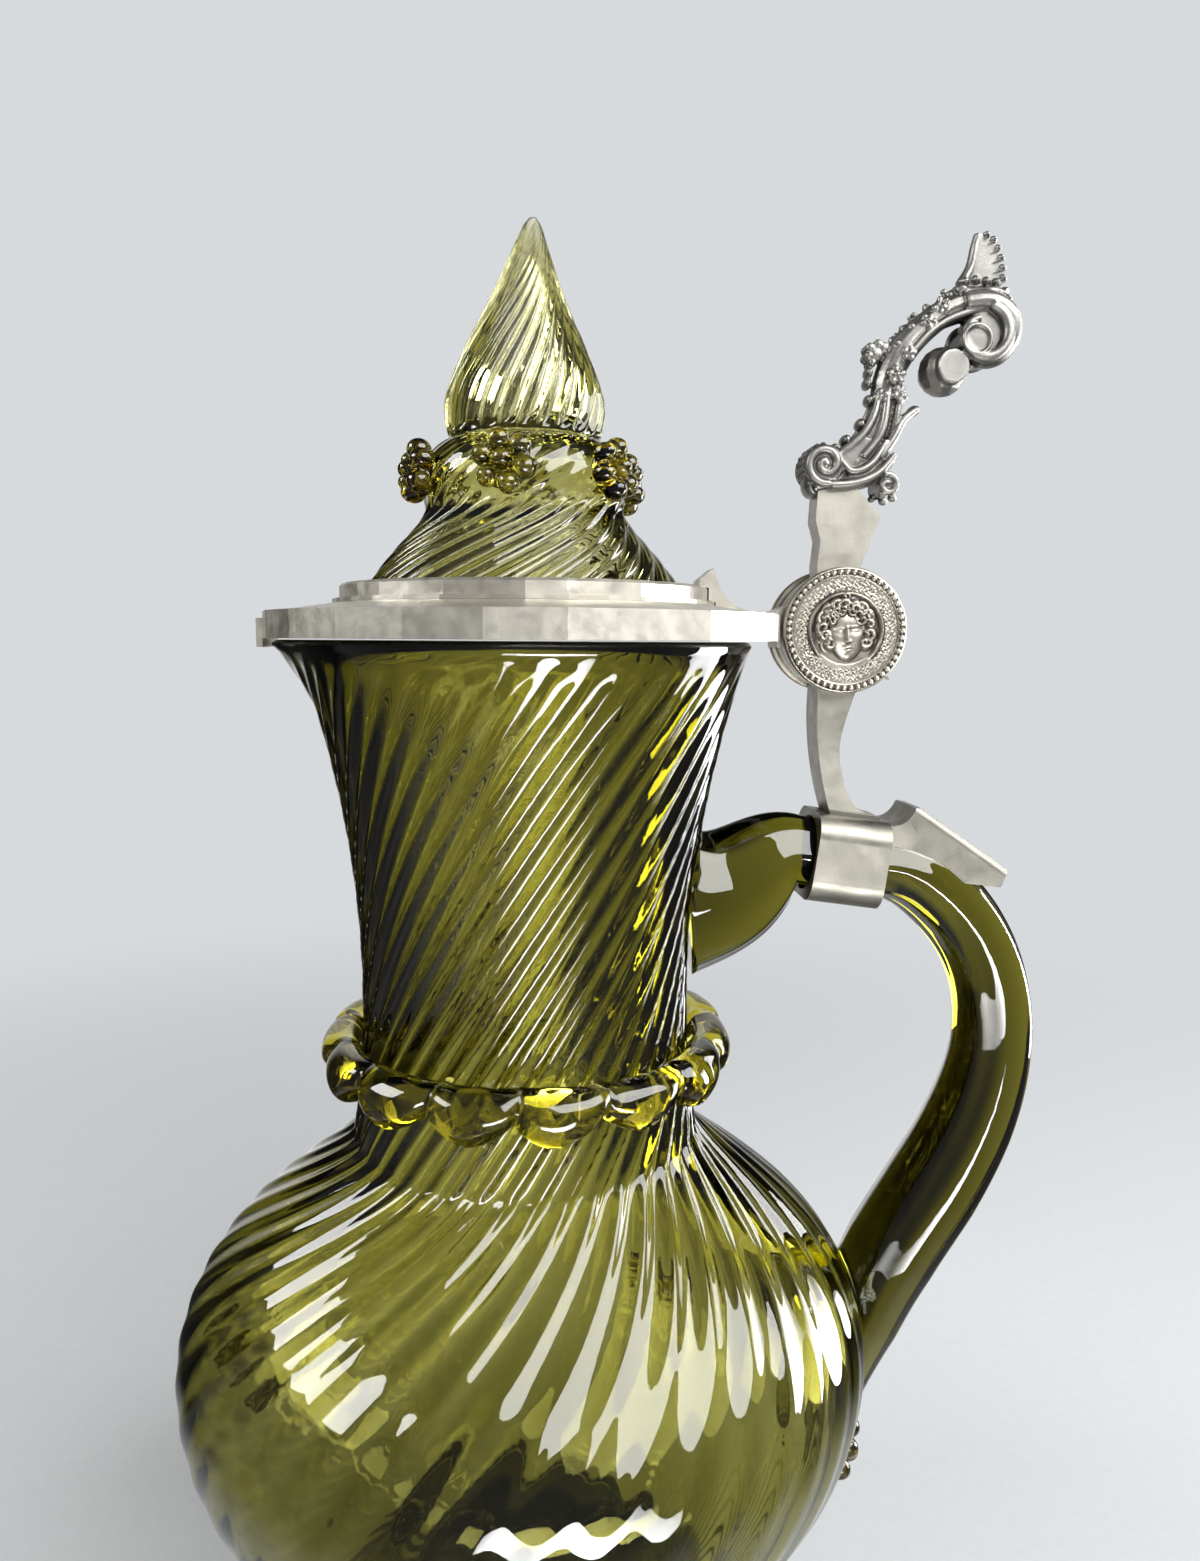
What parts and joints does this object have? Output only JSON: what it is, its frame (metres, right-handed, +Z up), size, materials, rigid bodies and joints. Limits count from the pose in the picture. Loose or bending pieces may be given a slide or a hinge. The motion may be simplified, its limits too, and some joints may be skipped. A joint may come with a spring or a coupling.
{
  "type": "lidded glass pitcher",
  "caption": "Ribbed olive glass wine pitcher on a spreading foot, with a glass handle and a hinged pewter-mounted glass lid with a thumb-lift.",
  "frame": {"origin": "on the jug's axis, in the plane the foot ring stands on", "axes": "+Z up along the jug's axis, +X towards the handle and the lid hinge, -X towards the spout, the hinge pin lies along Y"},
  "size_m": [0.181, 0.1432, 0.3168],
  "materials": {
    "green_glass": "clear olive green, glossy",
    "pale_glass": "clear pale yellow-green, glossy",
    "pewter": "satin, darker in the recesses",
    "steel_pin": "drawn wire",
    "plaster": "dark, crumbly"
  },
  "bodies": {
    "jug": {"glass_body": "green_glass", "glass_foot": "green_glass", "neck_trail": "pale_glass", "body_prunts": "pale_glass", "glass_handle": "green_glass", "handle_clasp": "pewter", "clasp_tongue": "pewter", "shank": "pewter", "hinge_pin": "steel_pin", "hinge_cap_front": "pewter", "hinge_cap_rear": "pewter"},
    "lid": {"lid_dome": "green_glass", "lid_finial": "green_glass", "lid_prunts": "pale_glass", "lid_rim": "pewter", "lid_collar": "pewter", "lid_plaster_bed": "plaster", "lid_arm": "pewter", "thumb_plate": "pewter", "thumb_lift": "pewter"}
  },
  "joints": [
    {"name": "lid_hinge", "type": "hinge", "parent": "jug", "child": "lid", "pos_m": [0.0633, 0, 0.2385], "axis": [0, 1, 0], "range_deg": [0, 105]}
  ]
}
